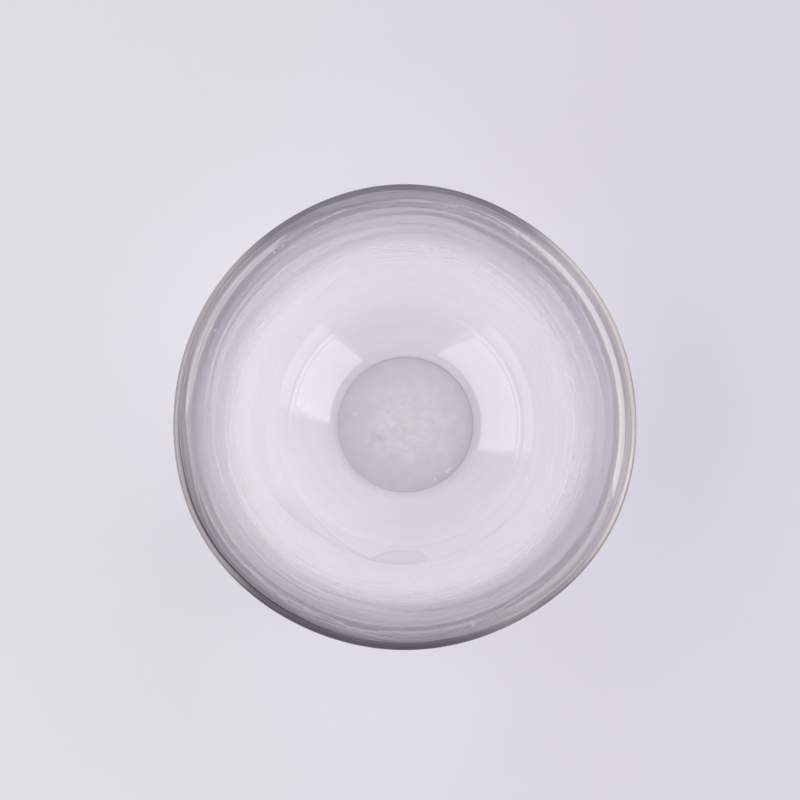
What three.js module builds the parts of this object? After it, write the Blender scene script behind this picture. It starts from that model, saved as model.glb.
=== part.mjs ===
// A blown glass tealight holder: an open bowl with a flared lip, the glass foot laid on its underside,
// and the soft pad under the foot. Millimetres, +Z up, with the origin on the surface that it stands on,
// in the middle of the pad. The bowl's front is towards -Y.

import * as THREE from 'three';

// Bowl
const RIM_DIAMETER = 130; // mean diameter over the lip
const RIM_HEIGHT = 50; // from the table to the top of the lip
const FLOOR_DIAMETER = 42; // flat inside, where the tealight stands
const FLOOR_GLASS = 3.2; // glass between the floor and the flat underside
const HEEL_GLASS = 3.4; // wall where it leaves the floor
const BELLY_GLASS = 4.2; // wall at its thickest, partway up
const BELLY_AT = 0.46; // where that is, as a share of the way from the heel to the throat
const WALL_GLASS = 2.2; // wall at its thinnest, under the lip
const LIP_GLASS = 2.8; // folded lip, also the thickness of the round rim edge

// Shape of the inner wall, all angles up from the table
const HEEL_RADIUS = 8; // small curve from the floor into the wall
const HEEL_SLOPE = THREE.MathUtils.degToRad(19);
const HEEL_PULL = 16; // how far the wall keeps the slope of the heel
const THROAT_SLOPE = THREE.MathUtils.degToRad(76); // steepest place, just under the lip
const THROAT_PULL = 22; // how far the wall keeps the slope of the throat
const LIP_WIDTH = 5; // from the crease, where the wall turns out into the lip, to the rim edge
const CREASE_RADIUS = 3.2;
const CREASE_SLOPE = THREE.MathUtils.degToRad(34); // slope of the lip where it leaves the crease
const LIP_SLOPE = THREE.MathUtils.degToRad(6); // what is left of it at the rim edge

// Hand-worked outline: how far the rim leaves a true circle
const LOBES = [
  { count: 3, depth: 0.55, towards: THREE.MathUtils.degToRad(90) },
  { count: 6, depth: 0.15, towards: THREE.MathUtils.degToRad(30) },
  { count: 2, depth: 0.1, towards: THREE.MathUtils.degToRad(90) },
];
const LOBE_FADE = 2; // power by which the lobes fade from the rim towards the floor

// Foot
const FOOT_DIAMETER = 42;
const FOOT_LEDGE = 2; // how far the bowl's flat underside runs on past the foot, all round
const FOOT_HEIGHT = 2.4;
const FOOT_EDGE = 0.5; // round edge at the bottom
const FOOT_TOP_EDGE = 0.3; // and where it meets the bowl

// Pad
const PAD_INSET = 0.2; // how far the pad stays inside the foot's flat underside
const PAD_THICKNESS = 1;
const PAD_EDGE = 0.25;

// Fineness
const AROUND = 72;
const WALL_STEPS = 14;
const HEEL_STEPS = 3;
const CREASE_STEPS = 3;
const LIP_STEPS = 4;
const BEAD_STEPS = 6;
const EDGE_STEPS = 3;

const rimRadius = RIM_DIAMETER / 2;
const beadRadius = LIP_GLASS / 2;
const undersideHeight = PAD_THICKNESS + FOOT_HEIGHT;
const floorHeight = undersideHeight + FLOOR_GLASS;

// Point at a distance along a slope
function along(point, slope, distance) {
  return new THREE.Vector2(point.x + distance * Math.cos(slope), point.y + distance * Math.sin(slope));
}

// Place across the wall from its inner face: positive is outwards and down
function across(point, slope, distance) {
  return new THREE.Vector2(point.x + distance * Math.sin(slope), point.y - distance * Math.cos(slope));
}

// Stations along a curve that bends from one slope to another, each with its slope and its thickness of
// glass. A positive radius bends the wall upwards, and a negative one rolls it outwards.
function bend(start, slopes, radius, glasses, steps) {
  const centre = across(start, slopes[0], -radius);
  const stations = [];
  for (let step = 1; step <= steps; step += 1) {
    const slope = THREE.MathUtils.lerp(...slopes, step / steps);
    const glass = THREE.MathUtils.lerp(...glasses, step / steps);
    stations.push({ at: across(centre, slope, radius), slope, glass });
  }
  return stations;
}

// Thickness of the wall at a share of the way up: it swells to the belly and thins to the throat
function wallGlass(share) {
  if (share < BELLY_AT) {
    return THREE.MathUtils.lerp(HEEL_GLASS, BELLY_GLASS, THREE.MathUtils.smoothstep(share, 0, BELLY_AT));
  }
  return THREE.MathUtils.lerp(BELLY_GLASS, WALL_GLASS, THREE.MathUtils.smoothstep(share, BELLY_AT, 1));
}

// Stations up the wall, from the heel to the throat
function bodyWall(start, throat) {
  const curve = new THREE.CubicBezierCurve(
    start,
    along(start, HEEL_SLOPE, HEEL_PULL),
    along(throat, THROAT_SLOPE, -THROAT_PULL),
    throat,
  );
  const stations = [];
  for (let step = 1; step <= WALL_STEPS; step += 1) {
    const share = step / WALL_STEPS;
    const tangent = curve.getTangentAt(share);
    stations.push({
      at: curve.getPointAt(share),
      slope: Math.atan2(tangent.y, tangent.x),
      glass: wallGlass(share),
    });
  }
  return stations;
}

// The inner face, from the edge of the floor to the end of the lip
function innerFace() {
  // The rim fixes the end of the lip, the lip's roll fixes the crease, and the crease the throat
  const lipEnd = new THREE.Vector2(
    rimRadius - beadRadius - beadRadius * Math.sin(LIP_SLOPE),
    RIM_HEIGHT - beadRadius + beadRadius * Math.cos(LIP_SLOPE),
  );
  const lipReach = lipEnd.x - (rimRadius - LIP_WIDTH);
  const lipRadius = lipReach / (Math.sin(CREASE_SLOPE) - Math.sin(LIP_SLOPE));
  const lipCentre = across(lipEnd, LIP_SLOPE, lipRadius);
  const creaseEnd = across(lipCentre, CREASE_SLOPE, -lipRadius);
  const creaseCentre = across(creaseEnd, CREASE_SLOPE, CREASE_RADIUS);
  const throat = across(creaseCentre, THROAT_SLOPE, -CREASE_RADIUS);

  const floorEdge = new THREE.Vector2(FLOOR_DIAMETER / 2, floorHeight);
  const heel = bend(floorEdge, [0, HEEL_SLOPE], HEEL_RADIUS, [HEEL_GLASS, HEEL_GLASS], HEEL_STEPS);
  return [
    { at: floorEdge, slope: 0, glass: HEEL_GLASS },
    ...heel,
    ...bodyWall(heel[heel.length - 1].at, throat),
    ...bend(throat, [THROAT_SLOPE, CREASE_SLOPE], -CREASE_RADIUS, [WALL_GLASS, WALL_GLASS], CREASE_STEPS),
    ...bend(creaseEnd, [CREASE_SLOPE, LIP_SLOPE], -lipRadius, [WALL_GLASS, LIP_GLASS], LIP_STEPS),
  ];
}

// The bowl's whole section: up the outside, round the rim edge, down the inside and along the floor
function bowlSection() {
  const inner = innerFace();
  const undersideEdge = new THREE.Vector2(FOOT_DIAMETER / 2 + FOOT_LEDGE, undersideHeight);
  const outer = inner
    .map(({ at, slope, glass }) => across(at, slope, glass))
    .filter((point) => point.x > undersideEdge.x && point.y > undersideEdge.y);

  const lip = inner[inner.length - 1];
  const beadCentre = across(lip.at, lip.slope, beadRadius);
  const bead = [];
  for (let step = 1; step < BEAD_STEPS; step += 1) {
    const slope = lip.slope - Math.PI * (1 - step / BEAD_STEPS);
    bead.push(across(beadCentre, slope, -beadRadius));
  }

  const axisBelow = new THREE.Vector2(0, undersideHeight);
  const axisAbove = new THREE.Vector2(0, floorHeight);
  const down = inner.map(({ at }) => at).reverse();
  return [axisBelow, undersideEdge, ...outer, ...bead, ...down, axisAbove];
}

// Section of a flat round disc with rounded edges, from its underside to its top
function discSection(diameter, bottom, top, bottomEdge, topEdge) {
  const radius = diameter / 2;
  const points = [new THREE.Vector2(0, bottom)];
  for (let step = 0; step <= EDGE_STEPS; step += 1) {
    const turn = (Math.PI / 2) * (step / EDGE_STEPS);
    points.push(new THREE.Vector2(
      radius - bottomEdge + bottomEdge * Math.sin(turn),
      bottom + bottomEdge - bottomEdge * Math.cos(turn),
    ));
  }
  for (let step = 0; step <= EDGE_STEPS; step += 1) {
    const turn = (Math.PI / 2) * (step / EDGE_STEPS);
    points.push(new THREE.Vector2(
      radius - topEdge + topEdge * Math.cos(turn),
      top - topEdge + topEdge * Math.sin(turn),
    ));
  }
  points.push(new THREE.Vector2(0, top));
  return points;
}

// Turn a section about the upright axis
function turned(section) {
  const geometry = new THREE.LatheGeometry(section, AROUND);
  geometry.rotateX(Math.PI / 2);
  return geometry;
}

// How far the outline stands out at an angle round the rim
function lobeAt(angle) {
  const waves = LOBES.map(({ count, depth, towards }) => depth * Math.cos(count * (angle - towards)));
  return waves.reduce((sum, wave) => sum + wave, 0);
}

// Pull a turned shape into its hand-worked outline, fully at the rim and not at all on the axis
function handWorked(geometry) {
  const position = geometry.getAttribute('position');
  for (let index = 0; index < position.count; index += 1) {
    const x = position.getX(index);
    const y = position.getY(index);
    const radius = Math.hypot(x, y);
    if (radius > 0) {
      const share = (radius / rimRadius) ** LOBE_FADE;
      const scale = 1 + (lobeAt(Math.atan2(y, x)) * share) / radius;
      position.setXY(index, x * scale, y * scale);
    }
  }
  geometry.computeVertexNormals();
  return geometry;
}

function piece(name, geometry, finish) {
  const mesh = new THREE.Mesh(geometry, new THREE.MeshStandardMaterial(finish));
  mesh.name = name;
  return mesh;
}

const greyGlass = {
  color: 0xc4c1cb,
  roughness: 0.12,
  metalness: 0,
  transparent: true,
  opacity: 0.5,
  side: THREE.DoubleSide,
};
const footGlass = { color: 0xcbc8d0, roughness: 0.3, metalness: 0, transparent: true, opacity: 0.5 };
const softPad = { color: 0xc6c2c8, roughness: 0.85, metalness: 0 };

const holder = new THREE.Group();

holder.add(piece('glass_bowl', handWorked(turned(bowlSection())), greyGlass));

holder.add(piece(
  'glass_foot',
  turned(discSection(FOOT_DIAMETER, PAD_THICKNESS, undersideHeight, FOOT_EDGE, FOOT_TOP_EDGE)),
  footGlass,
));

holder.add(piece(
  'foot_pad',
  turned(discSection(FOOT_DIAMETER - 2 * FOOT_EDGE - 2 * PAD_INSET, 0, PAD_THICKNESS, PAD_EDGE, PAD_EDGE)),
  softPad,
));

export default holder;
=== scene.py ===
"""Dresses the glass tealight holder: its blown bowl, the ground foot and the soft pad.

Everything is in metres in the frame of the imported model: +Z up, the front towards -Y, and the
origin on the table in the middle of the pad. Sizes below are in millimetres unless they say
otherwise, and are turned to metres when a mesh is made.
"""

import logging
import math
from dataclasses import dataclass, field
from enum import Enum
from typing import Callable, Union

import bmesh
import bpy
from mathutils import Matrix, Vector


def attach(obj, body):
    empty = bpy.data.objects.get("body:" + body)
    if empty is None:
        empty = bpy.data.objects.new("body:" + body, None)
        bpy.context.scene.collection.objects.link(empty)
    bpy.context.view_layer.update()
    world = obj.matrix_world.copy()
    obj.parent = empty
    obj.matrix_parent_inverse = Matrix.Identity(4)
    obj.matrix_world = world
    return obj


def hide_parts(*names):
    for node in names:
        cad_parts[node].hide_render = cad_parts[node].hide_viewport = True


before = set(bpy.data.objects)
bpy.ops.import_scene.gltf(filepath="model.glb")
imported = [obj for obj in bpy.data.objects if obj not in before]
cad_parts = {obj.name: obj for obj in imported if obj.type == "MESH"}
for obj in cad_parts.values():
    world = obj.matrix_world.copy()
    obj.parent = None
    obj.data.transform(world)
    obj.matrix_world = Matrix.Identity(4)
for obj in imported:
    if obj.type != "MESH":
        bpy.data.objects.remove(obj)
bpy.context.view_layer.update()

MM = 0.001
DEGREES = 180 / math.pi
SHARP_ANGLE = math.radians(35)
MERGE_DISTANCE = 1e-5
# Nearer to the axis than this, a place has no direction
LEAST_RADIUS = 0.01
# What the mesh attribute "edge" says on the faces that are nowhere near the rim edge
FAR_FROM_RIM = 50.0
# The "reach" that counts as all the way up the wall
FULL_REACH = 120.0
# Ends of a range that falls
FALLING = (1.0, 0.0)
LOG = logging.getLogger("tealight_holder")

Colour = tuple[float, float, float]
Pair = tuple[float, float]
Stops = tuple[Pair, ...]
Number = Union["Result", float]
Feed = Union["Result", float, Colour]
Inputs = dict[str | int, Feed] | None


class Side(Enum):
    """The two faces of the bowl's wall, as kept in the mesh attribute "side"."""

    INNER = 0.0
    OUTER = 1.0


class Towards(float, Enum):
    """Where each mark on the bowl has its middle: counter-clockwise from +X, in degrees."""

    RAGGED_CREASE = 84.0
    DARK_BACK = 96.0
    DARK_FRONT = 268.0
    LIT_EDGE = 178.0
    BLACK_LINE = 216.0
    CREAM_HIGHLIGHT = 6.0
    EXTRA_COVER = 62.0
    AIRY_THROAT = 20.0
    LIP_BACK = 92.0
    LIP_FRONT = 243.0
    LIP_LEFT = 172.0
    SHINE_RIGHT = 16.0
    SHINE_LEFT = 151.0
    RING = 78.0


class NodeBoard:
    """Lays out the nodes of one material, lamp or world."""

    def __init__(self, tree: bpy.types.NodeTree) -> None:
        """Empties a tree.

        Args:
            tree: the node tree to fill.
        """
        self.tree = tree
        tree.nodes.clear()

    def add(self, kind: str, inputs: Inputs = None, output: str | int = 0, **settings: object) -> "Result":
        """Adds a node.

        Args:
            kind: its type, without the word ShaderNode.
            inputs: what goes into each input, by name or number.
            output: which output is wanted.
            settings: values for its properties.

        Returns:
            What comes out of it.
        """
        made = self.tree.nodes.new("ShaderNode" + kind)
        for name, value in settings.items():
            setattr(made, name, value)
        for name, value in (inputs or {}).items():
            self.feed(made.inputs[name], value)
        return Result(self, made.outputs[output])

    def feed(self, target: bpy.types.NodeSocket, value: Feed) -> None:
        """Links an input, or sets its number or colour.

        Args:
            target: the input.
            value: what goes into it.
        """
        if isinstance(value, Result):
            self.tree.links.new(value.socket, target)
        elif isinstance(value, tuple) and target.type == "RGBA":
            target.default_value = (*value, 1.0)
        else:
            target.default_value = value

    def end(self, kind: str, shader: "Result") -> None:
        """Ends the tree in an output node."""
        self.feed(self.tree.nodes.new("ShaderNode" + kind).inputs[0], shader)

    def finish(self, inputs: dict[str, Feed], passing: Feed | None = None) -> None:
        """Gives a material its surface.

        Args:
            inputs: what goes into the Principled shader.
            passing: tint of the light in the piece's shadow, if light passes it.
        """
        surface = self.add("BsdfPrincipled", inputs)
        if passing is not None:
            shade = self.add("BsdfTransparent", {"Color": passing})
            in_shadow = self.add("LightPath", output="Is Shadow Ray")
            surface = self.add("MixShader", {0: in_shadow, 1: surface, 2: shade})
        self.end("OutputMaterial", surface)


@dataclass(frozen=True)
class Result:
    """A number, colour or place that nodes work out.

    Attributes:
        board: the nodes that it belongs to.
        socket: the output that gives it.
    """

    board: NodeBoard
    socket: bpy.types.NodeSocket

    def maths(self, operation: str, other: Number = 0.0, clamp: bool = False) -> "Result":
        """Works out a number from this one and another, and can keep it between 0 and 1."""
        return self.board.add("Math", {0: self, 1: other}, operation=operation, use_clamp=clamp)

    def __add__(self, other: Number) -> "Result":
        """Adds a number."""
        return self.maths("ADD", other)

    __radd__ = __add__

    def __sub__(self, other: Number) -> "Result":
        """Takes a number away."""
        return self.maths("SUBTRACT", other)

    def __rsub__(self, other: float) -> "Result":
        """Takes this number from another."""
        return self.board.add("Math", {0: other, 1: self}, operation="SUBTRACT")

    def __mul__(self, other: Number) -> "Result":
        """Multiplies by a number."""
        return self.maths("MULTIPLY", other)

    def __truediv__(self, other: Number) -> "Result":
        """Divides by a number."""
        return self.maths("DIVIDE", other)

    def __abs__(self) -> "Result":
        """Drops the sign."""
        return self.maths("ABSOLUTE")

    def larger(self, other: Number) -> "Result":
        """Picks the larger of this number and another."""
        return self.maths("MAXIMUM", other)

    def span(self, start: Pair, end: Pair = (0.0, 1.0), straight: bool = False) -> "Result":
        """Takes the number from one range into another.

        Args:
            start: the range it comes in.
            end: the range it leaves in.
            straight: whether it runs on in a straight line, and isn't eased and held at both ends.

        Returns:
            The number in the other range.
        """
        names = ("Value", "From Min", "From Max", "To Min", "To Max")
        inputs = dict(zip(names, (self, *start, *end)))
        style = "LINEAR" if straight else "SMOOTHSTEP"
        return self.board.add("MapRange", inputs, interpolation_type=style, clamp=not straight)

    def curve(self, stops: Stops, scale: float = 1.0) -> "Result":
        """Reads a number off a graph of straight lines, this far along it.

        Args:
            stops: places, from 0 to 1, and heights of the graph's corners.
            scale: no less than any height, as a ramp holds nothing above 1.

        Returns:
            The height.
        """
        ramp = self.board.add("ValToRGB", {0: self})
        elements = ramp.socket.node.color_ramp.elements
        while len(elements) < len(stops):
            elements.new(1.0)
        for element, (place, height) in zip(elements, stops):
            element.position = place
            element.color = (height / scale, height / scale, height / scale, 1.0)
        return ramp if scale == 1.0 else ramp * scale

    def blend(self, first: Feed, second: Feed) -> "Result":
        """Mixes two colours, with this share of the second."""
        return self.board.add("Mix", {0: self, 6: first, 7: second}, 2, data_type="RGBA")

    def parts(self) -> list["Result"]:
        """Splits a place into its three numbers."""
        first = self.board.add("SeparateXYZ", {0: self})
        return [Result(self.board, socket) for socket in first.socket.node.outputs]

    def scaled(self, factor: Number) -> "Result":
        """Multiplies a place or colour by a number."""
        return self.board.add("VectorMath", {0: self, "Scale": factor}, operation="SCALE")

    def stretched(self, factors: Colour) -> "Result":
        """Multiplies each part of a place by a number of its own."""
        return self.board.add("VectorMath", {0: self, 1: factors}, operation="MULTIPLY")

    def distance(self, other: Colour) -> "Result":
        """Measures how far this place is from another."""
        return self.board.add("VectorMath", {0: self, 1: other}, "Value", operation="DISTANCE")

    def grain(self, scale: float, detail: float, rough: float) -> "Result":
        """Reads a soft noise round 0.5 here, with so many finer layers, so strong."""
        inputs = {"Vector": self, "Scale": scale, "Detail": detail, "Roughness": rough}
        return self.board.add("TexNoise", inputs, noise_dimensions="3D")

    def bump(self, strength: float, distance: float) -> "Result":
        """Bends a normal as if this height, 1 being a distance in metres, were raised."""
        return self.board.add("Bump", {"Strength": strength, "Distance": distance, "Height": self})


class TurnedPlace:
    """Where a point of a turned piece is, in millimetres, read from Object coordinates.

    Attributes:
        board: the material's nodes.
        place: the whole place.
        radius: distance from the upright axis.
        east: the part of a unit step outwards that is along X.
        north: the part of it along Y.
    """

    def __init__(self, board: NodeBoard) -> None:
        """Adds the nodes that find it.

        Args:
            board: the material's nodes.
        """
        self.board = board
        self.place = board.add("TexCoord", output="Object").scaled(1 / MM)
        x, y, _ = self.place.parts()
        self.radius = (x * x + y * y).maths("SQRT")
        safe = self.radius.larger(LEAST_RADIUS)
        self.east = x / safe
        self.north = y / safe

    def spots(self, middles: Stops, fade: Pair) -> list[Result]:
        """Draws spots, as seen from above, that fade between two distances from their middles."""
        flat = self.place.stretched((1.0, 1.0, 0.0))
        return [flat.distance((x, y, 0.0)).span(fade, FALLING) for x, y in middles]


def new_material(name: str) -> tuple[bpy.types.Material, NodeBoard]:
    """Makes an empty material.

    Args:
        name: its name.

    Returns:
        The material and its nodes.
    """
    material = bpy.data.materials.new(name)
    material.use_nodes = True
    return material, NodeBoard(material.node_tree)


@dataclass(frozen=True)
class BrushedGlass:
    """Clear blown glass with a milky grey colour brushed round its outside.

    Attributes:
        clear: tint of the bare glass, and smoky the darker tint round the floor, where the glass is thicker,
            which also paints the shade under the bowl.
        cool: the brushed colour low in the bowl where it turns blue, and warm where it turns pink.
        dense: the same high on the wall, and airy in the throat at the sides.
        lip: the same on the lip's right, with lip_left, and lip_end_shade the painted shade at its front and
            back.
        crease_edge_shade: the colour in the crease under the lip, the blotchy edge of the brushed colour
            darkened with painted crease shade.
        ribbon: the colour of the twisted ribbon in the front wall.
        rim: the painted shade of the rim edge at its front, back and right silhouette, and black the painted
            shade line beside it.
        lit_edge: painted light on the rim edge at its left, and cream the painted highlight at its right.
        bubble_glint: the painted glint of the small bubbles, and bubbles their places, from above.
        shadow: tint of the shadow of the bare glass and of the covered glass.
        cover: how much of the colour covers the glass, by share of the way up.
        swing: how much the broad strokes change that, and hairy the hairs of the brush.
        ribbon_arc: the azimuth where the ribbon starts, and how far round it goes, in degrees.
        ribbon_route: along the ribbon, its distance from the axis and half of its width.
        crease_reach: how far up the wall the crease is, and ring_reach the raised ring.
        ior: how strongly the glass bends light.
    """

    clear: Colour = (0.975, 0.97, 0.98)
    smoky_shaded: Colour = (0.905, 0.895, 0.917)
    cool: Colour = (0.50, 0.49, 0.56)
    warm: Colour = (0.53, 0.49, 0.53)
    dense: Colour = (0.30, 0.277, 0.36)
    airy: Colour = (0.44, 0.42, 0.46)
    lip: Colour = (0.34, 0.31, 0.34)
    lip_left: Colour = (0.225, 0.20, 0.24)
    lip_end_shade: Colour = (0.19, 0.175, 0.23)
    crease_edge_shade: Colour = (0.18, 0.145, 0.225)
    ribbon: Colour = (0.28, 0.18, 0.25)
    rim: Colour = (0.08, 0.066, 0.09)
    black_shade: Colour = (0.02, 0.017, 0.024)
    lit_edge: Colour = (0.34, 0.303, 0.325)
    cream_highlight: Colour = (0.52, 0.47, 0.44)
    bubble_glint: Colour = (0.9, 0.9, 0.92)
    shadow: tuple[Colour, Colour] = ((0.975, 0.97, 0.975), (0.80, 0.79, 0.81))
    bubbles: Stops = (
        (-34.2, 48.4), (-36.7, 46.5), (-53.3, 24.5), (-54.4, 25.1), (-49.6, 22.4),
        (46.8, 28.0), (54.0, 6.8), (46.5, -21.0), (40.9, -26.5),
    )
    # The rise near share 0.26, low in the wall by the floor, partly stands in for the shade under the bowl
    cover: Stops = (
        (0.0, 0.04), (0.26, 0.16), (0.36, 0.11), (0.48, 0.05), (0.58, 0.12),
        (0.68, 0.36), (0.76, 0.54), (0.86, 0.7), (0.93, 0.9),
    )
    swing: Stops = ((0.0, 0.01), (0.5, 0.03), (0.62, 0.05), (0.74, 0.11), (0.86, 0.11), (1.0, 0.07))
    hairy: Stops = (
        (0.0, 0.01), (0.36, 0.01), (0.48, 0.022), (0.62, 0.075),
        (0.8, 0.12), (0.92, 0.14), (1.0, 0.08),
    )
    ribbon_arc: Pair = (-156.0, 76.0)
    ribbon_route: tuple[tuple[float, float, float], ...] = (
        (0.0, 42.6, 2.7), (0.2, 41.7, 2.2), (0.34, 41.1, 1.5), (0.46, 41.3, 0.8), (0.57, 41.5, 0.3),
        (0.68, 42.3, 0.2), (0.75, 40.9, 1.3), (0.84, 40.4, 1.9), (0.94, 40.4, 1.6), (1.0, 41.2, 0.0),
    )
    crease_reach: float = 107.9
    ring_reach: float = 46.8
    ior: float = 1.45

    def material(self) -> bpy.types.Material:
        """Builds the material.

        Returns:
            The material.
        """
        material, board = new_material("brushed_glass")
        drawn = Brushwork(board, self)
        inputs = {
            "Base Color": drawn.base_colour(),
            "Transmission Weight": 1.0 - drawn.milk * 0.88,
            "Roughness": drawn.milk * 0.16,
            "IOR": self.ior,
            "Coat Weight": drawn.coat(),
            "Coat Roughness": 0.03,
            "Coat IOR": 1.85,
            "Normal": drawn.relief(),
        }
        board.finish(inputs, drawn.milk.blend(*self.shadow))
        return material


class Brushwork(TurnedPlace):
    """What is drawn at one place on the bowl.

    Attributes:
        glass: the finish that it draws.
        reach: how far up the wall the place is, along both the radius and the height.
        share: the same as a share of the whole way up.
        side: 0 on the inner face and 1 on the outer.
        strokes: the broad brush strokes and hairs the fine ones, from -1 to 1.
        crease: the dark line under the lip, partly painted crease shade, cord the ribbon and glints the
            bubbles, from 0 to 1.
        front: 1 at the lip's front, darkest with painted shade, and ends 1 at its front and back, 0 away
            from them.
        past: how far past the end of the lip it is, about 0 to 4.4 round the rim edge.
        on_rim: 1 on the rim edge, 0 away from it.
        milk: how much of the colour covers the glass, from 0 to 1.
    """

    def __init__(self, board: NodeBoard, glass: BrushedGlass) -> None:
        """Draws what more than one input of the glass needs.

        Args:
            board: the material's nodes.
            glass: the finish.
        """
        super().__init__(board)
        self.glass = glass
        names = ("reach", "side", "edge")
        kept = [board.add("Attribute", output="Fac", attribute_name=name) for name in names]
        self.reach, self.side, edge = kept
        self.share = self.reach / FULL_REACH
        self.strokes, self.hairs = self.brush()
        self.crease = self.folded_line()
        self.cord = self.twisted_ribbon()
        self.glints = sum(self.spots(glass.bubbles, (0.15, 0.4))) * (1.0 - self.side)
        self.front = self.facing(Towards.LIP_FRONT).span((0.5, 0.85))
        behind = self.facing(Towards.LIP_BACK).span((0.6, 0.9))
        self.ends = self.front.larger(behind)
        self.past = edge + self.waver(4.0, 0.05, 57.0) * 0.8 - behind * 0.4
        self.on_rim = self.past.span((-0.9, -0.3)) * edge.span((4.2, 5.0), FALLING)
        self.milk = self.covering()

    def facing(self, middle: Towards) -> Result:
        """How far the place is turned towards a mark: 1 there, 0 a quarter turn away, -1 opposite."""
        turn = math.radians(middle)
        return self.east * math.cos(turn) + self.north * math.sin(turn)

    def lane(self, reach: Result, around: float, pitch: float, shift: float) -> Result:
        """Reads a noise round 0.5 at some fineness round the bowl and up the wall, moved by a shift."""
        turned = {0: self.east * around, 1: self.north * around, 2: reach * pitch + shift}
        return self.board.add("CombineXYZ", turned).grain(1.0, 1.0, 0.5)

    def waver(self, around: float, pitch: float, shift: float) -> Result:
        """Reads the same noise round 0."""
        return self.lane(self.reach, around, pitch, shift) - 0.5

    def brush(self) -> tuple[Result, Result]:
        """Draws strokes that run round the bowl and drift up and down a little on the way.

        Returns:
            The broad strokes and the hairs of the brush.
        """
        swept = self.reach + self.waver(1.1, 0.02, 7.0) * 14.0
        broad = self.lane(swept, 0.7, 0.14, 0.0).span((0.4, 0.6), (-0.75, 0.75))
        edged = self.lane(swept, 1.2, 0.3, 21.0).span((0.4, 0.6), (-0.25, 0.25))
        middle = self.lane(swept, 0.9, 0.75, 43.0).span((0.3, 0.7), (-0.55, 0.55))
        fine = self.lane(swept, 1.1, 1.5, 71.0).span((0.3, 0.7), (-0.45, 0.45))
        return broad + edged, middle + fine

    def folded_line(self) -> Result:
        """Draws the wavering dark line under the lip: the blotchy edge of the brushed colour, with painted
        crease shade.

        Returns:
            Its strength.
        """
        ragged = abs(self.facing(Towards.RAGGED_CREASE)).span((0.62, 0.92))
        centre = self.waver(5.0, 0.15, 11.0) * 4.6 + self.waver(24.0, 0.7, 77.0) * 2.0
        centre = centre + (ragged * 1.4 + self.glass.crease_reach)
        off = abs(self.reach - centre)
        blots = self.lane(self.reach, 13.0, 0.5, 33.0).span((0.4, 0.62), (0.0, 0.8))
        thin = off.span((0.15, 0.5), FALLING) * (ragged * 0.4 + 0.12)
        thick = off.span((0.2, 1.1), FALLING) * blots
        return thin.maths("ADD", thick * ragged, clamp=True)

    def twisted_ribbon(self) -> Result:
        """Draws the flat ribbon of denser glass low in the front wall, on its inner face only.

        Returns:
            Its strength.
        """
        start, length = self.glass.ribbon_arc
        turn = self.north.maths("ARCTAN2", self.east) * DEGREES
        share = (turn - start).maths("DIVIDE", length, clamp=True)
        route = self.glass.ribbon_route
        middle = share.curve(tuple((place, far) for place, far, _ in route), 50.0)
        half = share.curve(tuple((place, wide) for place, _, wide in route), 5.0)
        past = abs(self.radius - middle) - half
        line = abs(past).span((0.1, 0.35), (0.95, 0.0))
        inside = (past.span((-0.35, 0.1), (0.55, 0.0)) + line) * (1.0 - self.side)
        fade = share.span((0.0, 0.2), (0.1, 1.0))
        return inside * (fade * share.span((0.985, 1.0), FALLING))

    def covering(self) -> Result:
        """Works out how much of the colour covers the glass.

        Returns:
            0 where the glass is bare, 1 where it is covered.
        """
        share = self.share
        extra = self.facing(Towards.EXTRA_COVER).span((-0.6, 0.9), (0.0, 0.14))
        painted = share.curve(self.glass.cover) + extra * share.span((0.55, 0.78), FALLING)
        painted = painted + self.strokes * share.curve(self.glass.swing)
        painted = painted.maths("ADD", self.hairs * share.curve(self.glass.hairy), clamp=True)
        painted = painted * self.side.span((0.0, 1.0), (0.06, 1.0))
        painted = painted.larger(self.crease * 0.7).larger(self.on_rim * 0.96)
        return painted.maths("MAXIMUM", self.glints * 0.6, clamp=True)

    def brushed_colours(self) -> tuple[Result, Result]:
        """Mixes the brushed colour.

        Returns:
            Its colour on the wall and on the lip.
        """
        glass, share = self.glass, self.share
        wall = self.lane(self.reach, 1.3, 0.07, 91.0).span((0.4, 0.6)).blend(glass.cool, glass.warm)
        wall = share.span((0.5, 0.84)).blend(wall, glass.dense)
        throat = abs(self.facing(Towards.AIRY_THROAT)).span((0.45, 0.95)) * share.span((0.84, 0.88))
        lip = self.facing(Towards.LIP_LEFT).span((0.3, 0.7)).blend(glass.lip, glass.lip_left)
        # Painted shade: the lip's front darkens towards the rim edge's shade colour
        front_shade = self.front * self.reach.span((109.5, 113.2), (0.0, 0.7))
        lip = front_shade.blend(self.ends.blend(lip, glass.lip_end_shade), glass.rim)
        return throat.blend(wall, glass.airy), lip

    def rim_colour(self, lip: Result) -> Result:
        """Mixes the colour of the rim edge, which runs on from the lip's and changes on its way round with
        painted shade, painted light and a painted highlight.

        Args:
            lip: the colour of the lip there.

        Returns:
            The colour.
        """
        glass, past = self.glass, self.past
        # Painted shade: dark in front and at the back, and darkest at the silhouette
        back = self.facing(Towards.DARK_BACK).span((0.5, 0.9), (0.0, 0.46))
        front = self.facing(Towards.DARK_FRONT).span((0.35, 0.75), (0.0, 0.62))
        blotchy = self.place.grain(0.09, 2.0, 0.6).span((0.35, 0.6), (0.6, 1.0))
        end_shade = back.larger(front) * past.span((-1.0, 0.6)) * blotchy
        tone = end_shade.blend(lip, glass.rim)
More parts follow.
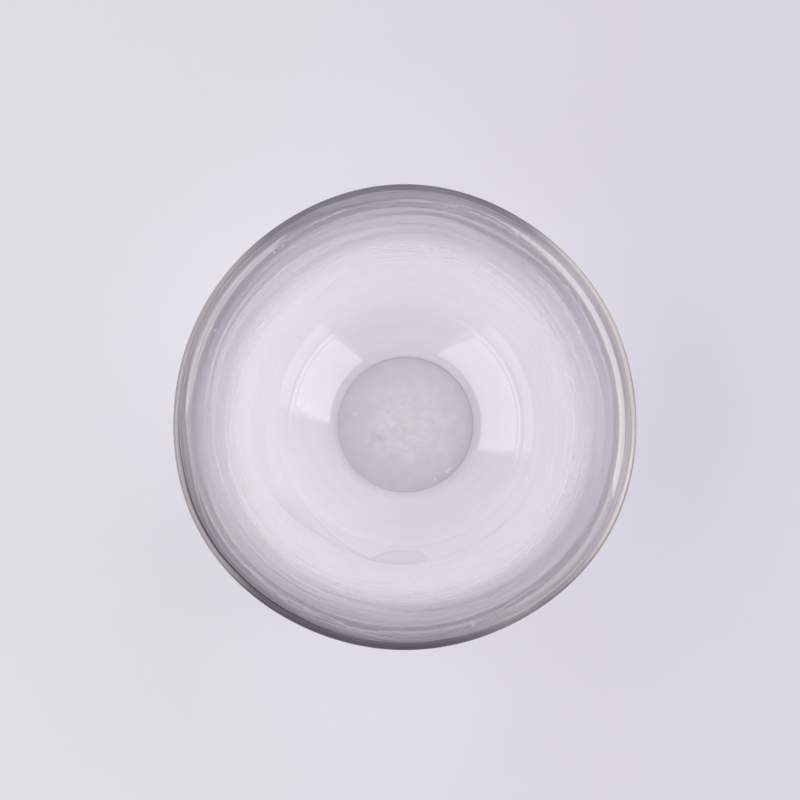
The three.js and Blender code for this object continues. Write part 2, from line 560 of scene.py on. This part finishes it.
        # Painted light at the left, and inside of that a thin dark painted shade line that thickens towards
        # the front
        left = self.facing(Towards.LIT_EDGE).span((0.58, 0.82))
        tone = (left * past.span((-0.25, 0.1))).blend(tone, glass.lit_edge)
        line = abs(past + 0.55).span((0.1, 0.5), (0.95, 0.0))
        thick_shade = past.span((-1.5, -0.6), (0.0, 0.7)) * past.span((-0.5, -0.1), FALLING)
        below = self.facing(Towards.BLACK_LINE).span((0.75, 0.92))
        tone = (line.larger(thick_shade) * below).blend(tone, glass.black_shade)
        # A painted creamy highlight at the right, and outside of it a grey painted shade line
        right = self.facing(Towards.CREAM_HIGHLIGHT).span((0.6, 0.85))
        tone = (right * past.span((1.2, 1.7), (0.0, 0.5))).blend(tone, glass.rim)
        line = past.span((-0.3, 0.2)) * past.span((1.0, 1.5), FALLING)
        return (right * line).blend(tone, glass.cream_highlight)

    def base_colour(self) -> Result:
        """Mixes the colour of the glass and of what covers it.

        Returns:
            The colour.
        """
        glass = self.glass
        wall, lip = self.brushed_colours()
        rim = self.rim_colour(lip)
        # The crease line is the brushed colour's edge, darkened with painted shade
        colour = self.crease.blend(self.reach.span((107.0, 108.6)).blend(wall, lip), glass.crease_edge_shade)
        colour = self.on_rim.blend(colour, rim)
        # Painted glints on the bubbles
        colour = self.glints.blend(colour, glass.bubble_glint)
        # Darker bare glass round the floor: thicker glass, and painted shade from under the bowl
        bare = self.share.span((0.32, 0.5)).blend(glass.smoky_shaded, glass.clear)
        base = self.milk.blend(bare, colour)
        # Half covered glass would show as a pale line along the dark parts of the rim edge
        base = (self.on_rim.span((0.0, 0.8)) * self.ends).blend(base, rim)
        return (self.cord * 0.27).blend(base, glass.ribbon)

    def coat(self) -> Result:
        """Works out how strong the shine on the lip is.

        Returns:
            A number from 0 to 1.
        """
        right = self.facing(Towards.SHINE_RIGHT).span((0.6, 0.85), (0.0, 0.6))
        left = self.facing(Towards.SHINE_LEFT).span((0.6, 0.9), (0.0, 0.08))
        shine = right + left + (0.2 - self.front * 0.16)
        return self.reach.span((109.0, 109.6)) * shine

    def relief(self) -> Result:
        """Raises the strokes, the ring low in the wall and the ribbon, and sinks the crease.

        Returns:
            The normal.
        """
        off = abs(self.reach - self.glass.ring_reach)
        ring = off.span((0.0, 0.9), FALLING) * self.facing(Towards.RING).span((-0.4, -0.25))
        height = self.strokes * (self.side * 0.02) + ring - self.crease * 1.4 + self.cord * 0.6
        return height.bump(strength=1.0, distance=0.00005)


@dataclass(frozen=True)
class GroundGlass:
    """The glass of the foot, ground dull underneath and cloudy inside.

    Attributes:
        light: the lighter cloud, and dark the darker one.
        edge: the painted shade towards its round edge, and line the painted contact shade at the edge
            itself, also the colour of the dark grains.
        scratch: the colour of the scuffs in the middle, and warm of the worn middle.
        bubble_glint: the painted glint of the small bubbles, and bubbles their places, from above.
        grit: places of the dark grains caught at the edge, from above.
        shadow: tint of its shadow.
        shade_towards: the way to the side where the painted edge shade is sharpest, along X and along Y.
        ior: how strongly the glass bends light.
    """

    light: Colour = (0.75, 0.725, 0.76)
    dark: Colour = (0.635, 0.62, 0.66)
    edge: Colour = (0.58, 0.565, 0.615)
    line: Colour = (0.36, 0.34, 0.39)
    scratch: Colour = (0.90, 0.87, 0.89)
    warm: Colour = (0.76, 0.715, 0.745)
    bubble_glint: Colour = (0.95, 0.95, 0.96)
    shadow: Colour = (0.7, 0.7, 0.72)
    bubbles: Stops = ((12.8, -14.7), (9.1, -17.2), (13.6, -13.9), (-15.6, 3.2))
    grit: Stops = ((19.0, 7.6), (-13.0, 14.0), (3.6, -19.3))
    shade_towards: Pair = (0.72, 0.69)
    ior: float = 1.45

    def material(self) -> bpy.types.Material:
        """Builds the material.

        Returns:
            The material.
        """
        material, board = new_material("ground_glass")
        at = TurnedPlace(board)
        mottle = at.place.grain(0.35, 5.0, 0.65) * 0.45 + at.place.grain(1.0, 4.0, 0.65) * 0.55
        shade = mottle.span((0.36, 0.64))
        tone = shade.blend(self.dark, self.light)
        tone = at.radius.span((2.0, 9.0), (0.45, 0.0)).blend(tone, self.warm)
        # Cloudy scuffs and curly broken scratches in the middle
        clouds = at.place.stretched((0.22, 0.95, 0.0)).grain(1.0, 3.0, 0.6)
        scuffs = clouds.span((0.56, 0.66), (0.0, 0.8)) * at.radius.span((6.0, 13.0), FALLING)
        curl = abs(at.place.grain(0.42, 3.0, 0.55) - 0.5)
        broken = at.place.grain(0.8, 1.0, 0.5).span((0.46, 0.56), (0.0, 0.85))
        lines = curl.span((0.006, 0.022), FALLING) * broken * at.radius.span((6.5, 11.0), FALLING)
        tone = scuffs.larger(lines).blend(tone, self.scratch)
        # Painted shade towards the round edge, where the foot meets the pad
        tone = at.radius.span((9.0, 20.5)).blend(tone, self.edge)
        # Painted contact shade at the edge: sharpest at the back and on the right, away from the left lamp,
        # and fading towards the front left
        east, north = self.shade_towards
        on_shaded_side = (at.east * east + at.north * north).span((-0.9, 0.5), (0.25, 1.0))
        edge_shade = at.radius.span((17.8, 20.8), (0.0, 0.45)) * on_shaded_side
        tone = (at.radius.span((20.2, 20.7)) * on_shaded_side).larger(edge_shade).blend(tone, self.line)
        # Painted glints on the bubbles, and the dark grains
        colours = [self.bubble_glint] * len(self.bubbles) + [self.line] * len(self.grit)
        for spot, colour in zip(at.spots(self.bubbles + self.grit, (0.15, 0.45)), colours):
            tone = spot.blend(tone, colour)
        inputs = {
            "Base Color": tone,
            "Transmission Weight": shade.span((0.0, 1.0), (0.55, 0.35)),
            "Roughness": shade.span((0.0, 1.0), (0.3, 0.45)),
            "IOR": self.ior,
        }
        board.finish(inputs, self.shadow)
        return material


@dataclass(frozen=True)
class SoftPadding:
    """The soft pad's dull surface.

    Attributes:
        light: the lighter fibre.
        dark: the darker fibre.
    """

    light: Colour = (0.74, 0.72, 0.74)
    dark: Colour = (0.62, 0.60, 0.62)

    def material(self) -> bpy.types.Material:
        """Builds the material.

        Returns:
            The material.
        """
        material, board = new_material("soft_padding")
        place = TurnedPlace(board).place
        fibre = place.grain(3.0, 4.0, 0.65)
        tone = fibre * 0.6 + place.grain(0.15, 2.0, 0.5) * 0.4
        inputs = {
            "Base Color": tone.span((0.4, 0.6)).blend(self.dark, self.light),
            "Roughness": fibre.span((0.3, 0.7), (0.8, 0.95)),
            "Normal": fibre.bump(strength=0.4, distance=0.0002),
        }
        board.finish(inputs)
        return material


@dataclass(frozen=True)
class PaleTable:
    """A smooth, pale lilac table top with painted light: darker to the right, a painted shadow beside the
    bowl's right side, and painted glows round and in front of the bowl.

    Attributes:
        left: its colour on the left, and right that on the right, darker and bluer as painted falloff of the
            light.
        shade: the colour of the painted soft shadow at the bowl's right side, with its middle.
        painted_pool: how much brighter the painted glow round the bowl makes it than far from it, with its
            middle.
        front: how much brighter a painted glow makes it again in front of the bowl, with its middle.
        rough: how dull it is.
        specular: how much of a mirror it is, 0.5 being glass.
    """

    left: Colour = (0.635, 0.626, 0.67)
    right: Colour = (0.61, 0.595, 0.675)
    shade: Colour = (0.56, 0.545, 0.615)
    painted_shadow_at: Colour = (62.0, 4.0, 0.0)
    painted_pool: float = 1.065
    painted_pool_at: Colour = (-8.0, 4.0, 0.0)
    front: float = 1.07
    front_glow_at: Colour = (-8.0, -64.0, 0.0)
    rough: float = 0.75
    specular: float = 0.2

    def material(self) -> bpy.types.Material:
        """Builds the material.

        Returns:
            The material.
        """
        material, board = new_material("pale_table")
        place = TurnedPlace(board).place
        # Painted falloff of light: darker and bluer to the right
        tone = place.parts()[0].span((-60.0, 110.0)).blend(self.left, self.right)
        # Painted shadow beside the bowl's right side
        tone = place.distance(self.painted_shadow_at).span((5.0, 62.0), (0.9, 0.0)).blend(tone, self.shade)
        # Painted glows of light round the bowl and in front of it
        painted_pool = place.distance(self.painted_pool_at).span((58.0, 118.0), (self.painted_pool, 1.0))
        front = place.distance(self.front_glow_at).span((10.0, 70.0), (self.front, 1.0))
        colour = tone.scaled(painted_pool * front)
        board.finish({"Base Color": colour, "Roughness": self.rough, "Specular IOR Level": self.specular})
        return material


def finished_piece(name: str, form: bmesh.types.BMesh, material: bpy.types.Material) -> bpy.types.Object:
    """Turns a bmesh in millimetres into a smooth-shaded object in metres at the origin.

    Args:
        name: the object's name.
        form: the mesh, which is freed.
        material: its only material.

    Returns:
        The object.
    """
    bmesh.ops.transform(form, matrix=Matrix.Scale(MM, 4), verts=form.verts)
    mesh = bpy.data.meshes.new(name)
    form.to_mesh(mesh)
    form.free()
    mesh.materials.append(material)
    mesh.polygons.foreach_set("use_smooth", [True] * len(mesh.polygons))
    mesh.set_sharp_from_angle(angle=SHARP_ANGLE)
    made = bpy.data.objects.new(name, mesh)
    bpy.context.scene.collection.objects.link(made)
    return made


def spin_section(form: bmesh.types.BMesh, points: list[bmesh.types.BMVert], steps: int) -> None:
    """Joins a section's points by edges, turns it about the upright axis and closes it.

    Args:
        form: the mesh that holds the points.
        points: the section from axis to axis, in order.
        steps: how many facets the turn has.
    """
    edges = [form.edges.new(pair) for pair in zip(points, points[1:])]
    bmesh.ops.spin(
        form,
        geom=[*points, *edges],
        cent=(0.0, 0.0, 0.0),
        axis=(0.0, 0.0, 1.0),
        dvec=(0.0, 0.0, 0.0),
        angle=math.tau,
        steps=steps,
        use_merge=True,
        use_duplicate=False,
    )
    bmesh.ops.remove_doubles(form, verts=form.verts, dist=MERGE_DISTANCE)
    bmesh.ops.recalc_face_normals(form, faces=form.faces)


@dataclass
class Station:
    """One place on the bowl's inner face.

    Attributes:
        at: distance from the axis and height.
        slope: direction of the wall there, up from the table, in radians.
        glass: thickness of the wall.
    """

    at: Vector
    slope: float
    glass: float

    def across(self, distance: float) -> Vector:
        """Place across the wall from here, positive outwards and down."""
        return self.at + distance * Vector((math.sin(self.slope), -math.cos(self.slope)))

    def along(self, distance: float) -> Vector:
        """Place along the wall from here."""
        return self.at + distance * Vector((math.cos(self.slope), math.sin(self.slope)))

    @property
    def reach(self) -> float:
        """How far up the wall it is, along both the radius and the height."""
        return self.at.x + self.at.y


@dataclass
class BlownBowl:
    """The bowl, with the sizes that the part's source gives it.

    Attributes:
        rim_diameter: mean diameter over the lip.
        rim_height: from the table to the top of the lip.
        floor_diameter: flat inside, where the tealight stands.
        underside_diameter: flat underside round the foot.
        underside_height: its height above the table.
        underside_ring: how far inside its edge the last ring of points is.
        floor_glass: thickness of the floor, as heel_glass, belly_glass, wall_glass and lip_glass
            are of the wall at the floor, at its thickest, under the lip and in the lip.
        belly_at: where the wall is thickest, as a share of the way up.
        heel_radius: the curve from the floor into the wall, and crease_radius from it into the lip.
        heel_slope: slope after the heel, as throat_slope is under the lip, crease_slope where the
            lip begins and lip_slope where it ends.
        heel_pull: how far the wall keeps the heel's slope, and throat_pull the throat's.
        lip_width: from the crease to the rim edge.
        lobes: each wave of the outline: how many times it comes, its depth, and an azimuth where
            it stands out.
        around: facets round the bowl.
        heel_steps: stations along the heel, and likewise wall_steps, crease_steps and lip_steps.
        bead_steps: facets round the rim edge.
        finish: what it is made of.
    """

    rim_diameter: float = 130.0
    rim_height: float = 50.0
    floor_diameter: float = 42.0
    floor_glass: float = 3.2
    underside_diameter: float = 46.0
    underside_height: float = 3.4
    underside_ring: float = 0.6
    heel_glass: float = 3.4
    belly_glass: float = 4.2
    belly_at: float = 0.46
    wall_glass: float = 2.2
    lip_glass: float = 2.8
    heel_radius: float = 8.0
    heel_slope: float = math.radians(19)
    heel_pull: float = 16.0
    throat_slope: float = math.radians(76)
    throat_pull: float = 22.0
    lip_width: float = 5.0
    crease_radius: float = 3.2
    crease_slope: float = math.radians(34)
    lip_slope: float = math.radians(6)
    lobes: tuple[tuple[int, float, float], ...] = ((3, 0.55, 90.0), (6, 0.15, 30.0), (2, 0.1, 90.0))
    around: int = 256
    heel_steps: int = 8
    wall_steps: int = 56
    crease_steps: int = 8
    lip_steps: int = 12
    bead_steps: int = 16
    finish: BrushedGlass = field(default_factory=BrushedGlass)

    def bend(self, start: Station, slope: float, radius: float, glass: float, steps: int) -> list[Station]:
        """Stations along a curve from one slope to another.

        Args:
            start: where the curve begins.
            slope: slope at its end.
            radius: positive bends the wall upwards, negative rolls it outwards.
            glass: thickness at its end.
            steps: how many stations.

        Returns:
            The stations after the start.
        """
        centre = start.across(-radius)
        made = []
        for step in range(1, steps + 1):
            share = step / steps
            turned = start.slope + (slope - start.slope) * share
            thick = start.glass + (glass - start.glass) * share
            made.append(Station(Station(centre, turned, thick).across(radius), turned, thick))
        return made

    def body_wall(self, start: Station, throat: Vector) -> list[Station]:
        """Stations up the wall from the heel to the throat.

        Args:
            start: the end of the heel.
            throat: where the crease under the lip begins.

        Returns:
            The stations after the start.
        """
        end = Station(throat, self.throat_slope, self.wall_glass)
        corners = (start.at, start.along(self.heel_pull), end.along(-self.throat_pull), throat)
        places, slopes, lengths = [start.at], [start.slope], [0.0]
        for step in range(1, self.wall_steps + 1):
            t = step / self.wall_steps
            s = 1 - t
            at = s**3 * corners[0] + 3 * s * s * t * corners[1]
            at = at + 3 * s * t * t * corners[2] + t**3 * corners[3]
            lead = s * s * (corners[1] - corners[0]) + 2 * s * t * (corners[2] - corners[1])
            lead = lead + t * t * (corners[3] - corners[2])
            lengths.append(lengths[-1] + (at - places[-1]).length)
            places.append(at)
            slopes.append(math.atan2(lead.y, lead.x))
        rows = list(zip(places, slopes, lengths))[1:]
        return [Station(at, slope, self.wall_glass_at(length / lengths[-1])) for at, slope, length in rows]

    def wall_glass_at(self, share: float) -> float:
        """Thickness of the wall at a share of the way up, swelling to the belly and thinning to the throat.

        Args:
            share: 0 at the heel, 1 at the throat.

        Returns:
            The thickness.
        """
        if share < self.belly_at:
            ease = share / self.belly_at
            low, high = self.heel_glass, self.belly_glass
        else:
            ease = (share - self.belly_at) / (1 - self.belly_at)
            low, high = self.belly_glass, self.wall_glass
        return low + (high - low) * ease * ease * (3 - 2 * ease)

    def inner_face(self) -> list[Station]:
        """Works out the inner face.

        Returns:
            Its stations, from the edge of the floor to the end of the lip.
        """
        bead = self.lip_glass / 2
        rim = self.rim_diameter / 2
        lip_x = rim - bead - bead * math.sin(self.lip_slope)
        lip_z = self.rim_height - bead + bead * math.cos(self.lip_slope)
        lip_end = Station(Vector((lip_x, lip_z)), self.lip_slope, self.lip_glass)
        lip_reach = lip_end.at.x - (rim - self.lip_width)
        lip_radius = lip_reach / (math.sin(self.crease_slope) - math.sin(self.lip_slope))
        lip_centre = Station(lip_end.across(lip_radius), self.crease_slope, 0.0)
        crease_end = Station(lip_centre.across(-lip_radius), self.crease_slope, self.wall_glass)
        crease_centre = Station(crease_end.across(self.crease_radius), self.throat_slope, 0.0)
        throat = crease_centre.across(-self.crease_radius)

        floor_height = self.underside_height + self.floor_glass
        floor_edge = Station(Vector((self.floor_diameter / 2, floor_height)), 0.0, self.heel_glass)
        heel = self.bend(floor_edge, self.heel_slope, self.heel_radius, self.heel_glass, self.heel_steps)
        wall = self.body_wall(heel[-1], throat)
        start = Station(throat, self.throat_slope, self.wall_glass)
        crease = self.bend(start, self.crease_slope, -self.crease_radius, self.wall_glass, self.crease_steps)
        lip = self.bend(crease[-1], self.lip_slope, -lip_radius, self.lip_glass, self.lip_steps)
        return [floor_edge, *heel, *wall, *crease, *lip]

    def lobe(self, angle: float) -> float:
        """How far the outline stands out at an angle round the rim, in radians."""
        waves = [(count * (angle - math.radians(towards)), depth) for count, depth, towards in self.lobes]
        return sum(depth * math.cos(turn) for turn, depth in waves)

    def section(self, form: bmesh.types.BMesh) -> list[bmesh.types.BMVert]:
        """Adds the bowl's section: along the underside, up the outside, over the rim and down to the floor.

        Args:
            form: the mesh that the points go into, with their attributes.

        Returns:
            The points, from axis to axis.
        """
        stations = self.inner_face()
        lip = stations[-1]
        floor_height = self.underside_height + self.floor_glass
        edge = self.underside_diameter / 2
        outer = [(station.across(station.glass), station.reach) for station in stations]
        outer = [(at, reach) for at, reach in outer if at.x > edge and at.y > self.underside_height]
        bead = self.lip_glass / 2
        bead_at = lip.across(bead)
        steps = self.bead_steps
        turns = [lip.slope - math.pi * (1 - step / steps) for step in range(1, steps)]
        round_edge = [Station(bead_at, turn, 0.0).across(-bead) for turn in turns]
        round_length = math.pi * bead

        sides = form.verts.layers.float.new("side")
        reaches = form.verts.layers.float.new("reach")
        edges = form.verts.layers.float.new("edge")
        section = []

        def point(at: Vector, face: Side, reach: float, past_lip: float) -> None:
            """Adds one point of the section, with its attributes."""
            vertex = form.verts.new((at.x, 0.0, at.y))
            vertex[sides] = face.value
            vertex[reaches] = reach
            vertex[edges] = past_lip
            section.append(vertex)

        for radius in (0.0, edge / 3, edge * 2 / 3, edge - self.underside_ring, edge):
            under = Vector((radius, self.underside_height))
            point(under, Side.OUTER, radius + floor_height, FAR_FROM_RIM)
        for at, reach in outer:
            point(at, Side.OUTER, reach, round_length + lip.reach - reach)
        for step, at in enumerate(round_edge, start=1):
            point(at, Side.OUTER, lip.reach, round_length * (1 - step / steps))
        for station in reversed(stations):
            point(station.at, Side.INNER, station.reach, station.at.x - lip.at.x)
        floor_edge = stations[0].at.x
        for radius in (floor_edge * 2 / 3, floor_edge / 3, 0.0):
            point(Vector((radius, floor_height)), Side.INNER, radius + floor_height, -FAR_FROM_RIM)
        return section

    def build(self) -> bpy.types.Object:
        """Makes the bowl's mesh.

        Returns:
            The bowl.
        """
        form = bmesh.new()
        spin_section(form, self.section(form), self.around)
        rim = self.rim_diameter / 2
        for vertex in form.verts:
            x, y, z = vertex.co
            radius = math.hypot(x, y)
            if radius > 1e-4:
                scale = 1 + self.lobe(math.atan2(y, x)) * (radius / rim) ** 2 / radius
                vertex.co = (x * scale, y * scale, z)
        made = finished_piece("blown_bowl", form, self.finish.material())
        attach(made, "root")
        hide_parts("glass_bowl")
        LOG.info("bowl: %d faces", len(made.data.polygons))
        return made


@dataclass
class RoundDisc:
    """A flat round piece with rounded edges: the foot or the pad.

    Attributes:
        name: the piece's name.
        node: the CAD node that it replaces.
        slot: the record's material slot, which is not used.
        diameter: over the edge.
        bottom: height of its underside.
        top: height of its top.
        bottom_edge: radius of the edge at the bottom.
        top_edge: radius of the edge at the top.
        finish: builds its material.
        around: facets round the disc.
        edge_steps: facets round each edge.
        rings: where its flat faces have rings of points, as shares of their radius.
    """

    name: str
    node: str
    slot: str
    diameter: float
    bottom: float
    top: float
    bottom_edge: float
    top_edge: float
    finish: Callable[[], bpy.types.Material]
    around: int = 160
    edge_steps: int = 6
    rings: tuple[float, ...] = (0.0, 0.33, 0.66)

    def build(self) -> bpy.types.Object:
        """Makes the disc.

        Returns:
            The disc.
        """
        form = bmesh.new()
        radius, low, high = self.diameter / 2, self.bottom_edge, self.top_edge
        outline = [(share * (radius - low), self.bottom) for share in self.rings]
        turns = [math.pi / 2 * step / self.edge_steps for step in range(self.edge_steps + 1)]
        for turn in turns:
            outline.append((radius - low + low * math.sin(turn), self.bottom + low - low * math.cos(turn)))
        for turn in turns:
            outline.append((radius - high + high * math.cos(turn), self.top - high + high * math.sin(turn)))
        outline += [(share * (radius - high), self.top) for share in reversed(self.rings)]
        spin_section(form, [form.verts.new((r, 0.0, z)) for r, z in outline], self.around)
        made = finished_piece(self.name, form, self.finish())
        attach(made, "root")
        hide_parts(self.node)
        LOG.info("%s: %d faces", self.name, len(made.data.polygons))
        return made


@dataclass(frozen=True)
class Softbox:
    """A soft lamp that curves round the bowl, wider at its top than at its bottom.

    Attributes:
        name: its name.
        azimuth: the middle of its top and of its bottom, counter-clockwise from +X, in degrees.
        spread: half of its width at the top and at the bottom, in degrees.
        zenith: its top and its bottom, down from straight above, in degrees.
        panel: width and height of the panel that carries it, beside its distance.
        glow: how bright it is beside white.
        away: its distance in metres.
        soft_side: half of the width in which its sides fade, and soft_end its top and bottom.
        lift: how far the panel's middle is above the lamp's, in degrees.
    """

    name: str
    azimuth: Pair
    spread: Pair
    zenith: Pair
    panel: Pair
    glow: float
    away: float = 1.2
    soft_side: float = 1.2
    soft_end: float = 1.0
    lift: float = 3.0

    def shape(self, board: NodeBoard) -> Result:
        """Draws the lamp's own shape on its panel.

        Args:
            board: the lamp's nodes.

        Returns:
            1 inside the shape, 0 outside of it.
        """
        position = board.add("NewGeometry", output="Position")
        x, y, z = board.add("VectorMath", {0: position}, operation="NORMALIZE").parts()
        zenith = z.maths("ARCCOSINE") * DEGREES
        turn = math.radians(self.azimuth[0])
        ahead = x * math.cos(turn) + y * math.sin(turn)
        aside = y * math.cos(turn) - x * math.sin(turn)
        azimuth = aside.maths("ARCTAN2", ahead) * DEGREES
        middle = zenith.span(self.zenith, (0.0, self.azimuth[1] - self.azimuth[0]), straight=True)
        width = zenith.span(self.zenith, self.spread, straight=True)
        inside = (abs(azimuth - middle) - width).span((-self.soft_side, self.soft_side), FALLING)
        top, bottom = self.zenith
        below_top = zenith.span((top - self.soft_end, top + self.soft_end))
        above_bottom = zenith.span((bottom - self.soft_end, bottom + self.soft_end), FALLING)
        return inside * (below_top * above_bottom)

    def build(self) -> None:
        """Adds the lamp: a flat panel that faces the bowl, of which only the lamp's own shape glows."""
        data = bpy.data.lights.new(self.name, "AREA")
        data.shape = "RECTANGLE"
        data.size, data.size_y = self.panel[0] * self.away, self.panel[1] * self.away
        data.energy = self.glow * math.pi * data.size * data.size_y
        data.use_nodes = True
        board = NodeBoard(data.node_tree)
        board.end("OutputLight", board.add("Emission", {"Strength": self.shape(board)}))

        lamp = bpy.data.objects.new(self.name, data)
        turn = math.radians(self.azimuth[0])
        tilt = math.radians(sum(self.zenith) / 2 - self.lift)
        towards = Vector((math.sin(tilt) * math.cos(turn), math.sin(tilt) * math.sin(turn), math.cos(tilt)))
        lamp.location = towards * self.away
        lamp.rotation_mode = "QUATERNION"
        lamp.rotation_quaternion = towards.to_track_quat("Z", "Y")
        bpy.context.scene.collection.objects.link(lamp)


@dataclass
class Studio:
    """The table, the two soft lamps, the light of the room and of its window, and the camera.

    Attributes:
        sensor: width of the camera's sensor, and lens its focal length.
        eye: where it stands, and gaze the way it looks.
        clip: the nearest and farthest that it sees, in metres.
        room: colour of the room's upper half, and room_low at the height of the table.
        room_front_back: brightness in front and at the back.
        room_low_high: how much of it is left at the table's height and above.
        window: the way to the window, and window_glow its brightness.
        backdrop: brightness of the room where the camera sees it.
        table_half: half of the table's width, and table_drop how far it is under the pad.
        table: what the table is made of.
    """

    sensor: float = 36.0
    lens: float = 66.83
    eye: Colour = (3.05, -21.51, 463.4)
    gaze: Colour = (-0.01037, 0.06311, -0.99795)
    clip: Pair = (0.01, 20.0)
    room: Colour = (1.0, 0.99, 0.995)
    room_low: Colour = (0.94, 0.905, 1.0)
    room_front_back: Pair = (0.5, 1.17)
    room_low_high: Pair = (0.76, 0.80)
    window: Colour = (0.53, 0.40, 0.75)
    window_glow: float = 0.5
    backdrop: float = 0.78
    table_half: float = 3000.0
    table_drop: float = 0.02
    table: PaleTable = field(default_factory=PaleTable)

    def lay_table(self) -> None:
        form = bmesh.new()
        bmesh.ops.create_grid(form, x_segments=8, y_segments=8, size=self.table_half)
        bmesh.ops.translate(form, vec=(0.0, 0.0, -self.table_drop), verts=form.verts)
        top = finished_piece("table_top", form, self.table.material())

    def light_room(self) -> None:
        """Fills the room with even light."""
        world = bpy.data.worlds.new("room")
        bpy.context.scene.world = world
        world.use_nodes = True
        board = NodeBoard(world.node_tree)
        way = board.add("TexCoord", output="Generated")
        _, y, z = way.parts()
        back = y.span((-0.9, 0.9), self.room_front_back)
        rise = z.span((-0.05, 0.5), self.room_low_high)
        towards = board.add("VectorMath", {0: way, 1: self.window}, "Value", operation="DOT_PRODUCT")
        glow = towards.span((0.72, 0.97), (0.0, self.window_glow))
        seen = board.add("LightPath", output="Is Camera Ray")
        bright = board.add("Mix", {0: seen, 2: back * rise + glow, 3: self.backdrop}, data_type="FLOAT")
        colour = z.span((0.0, 0.5)).blend(self.room_low, self.room)
        board.end("OutputWorld", board.add("Background", {0: colour, 1: bright}))

    def set_camera(self) -> None:
        """Adds the camera, almost straight above the bowl."""
        data = bpy.data.cameras.new("camera")
        data.sensor_width = self.sensor
        data.lens = self.lens
        data.clip_start, data.clip_end = self.clip
        camera = bpy.data.objects.new("camera", data)
        camera.location = Vector(self.eye) * MM
        gaze = Vector(self.gaze).normalized()
        right = gaze.cross(Vector((0.0, 1.0, 0.0))).normalized()
        up = right.cross(gaze)
        camera.rotation_mode = "QUATERNION"
        camera.rotation_quaternion = Matrix((right, up, -gaze)).transposed().to_quaternion()
        bpy.context.scene.collection.objects.link(camera)
        bpy.context.scene.camera = camera

    def build(self) -> None:
        """Sets up everything round the object."""
        self.lay_table()
        Softbox("left_lamp", (199.0, 194.5), (44.0, 30.0), (28.5, 60.0), (1.18, 0.78), 2.15).build()
        Softbox("right_lamp", (336.0, 333.0), (29.5, 20.0), (28.5, 60.0), (0.76, 0.72), 2.2).build()
        self.light_room()
        self.set_camera()
        bpy.context.scene.view_settings.view_transform = "Standard"


def main() -> None:
    """Builds the holder and the studio round it."""
    logging.basicConfig(level=logging.INFO, format="%(name)s: %(message)s")
    BlownBowl().build()
    ground, soft = GroundGlass().material, SoftPadding().material
    RoundDisc("ground_foot", "glass_foot", "foot_glass", 42.0, 1.0, 3.35, 0.5, 0.3, ground).build()
    RoundDisc("soft_pad", "foot_pad", "pad", 40.6, 0.0, 0.98, 0.25, 0.25, soft).build()
    Studio().build()


if __name__ == "__main__":
    main()
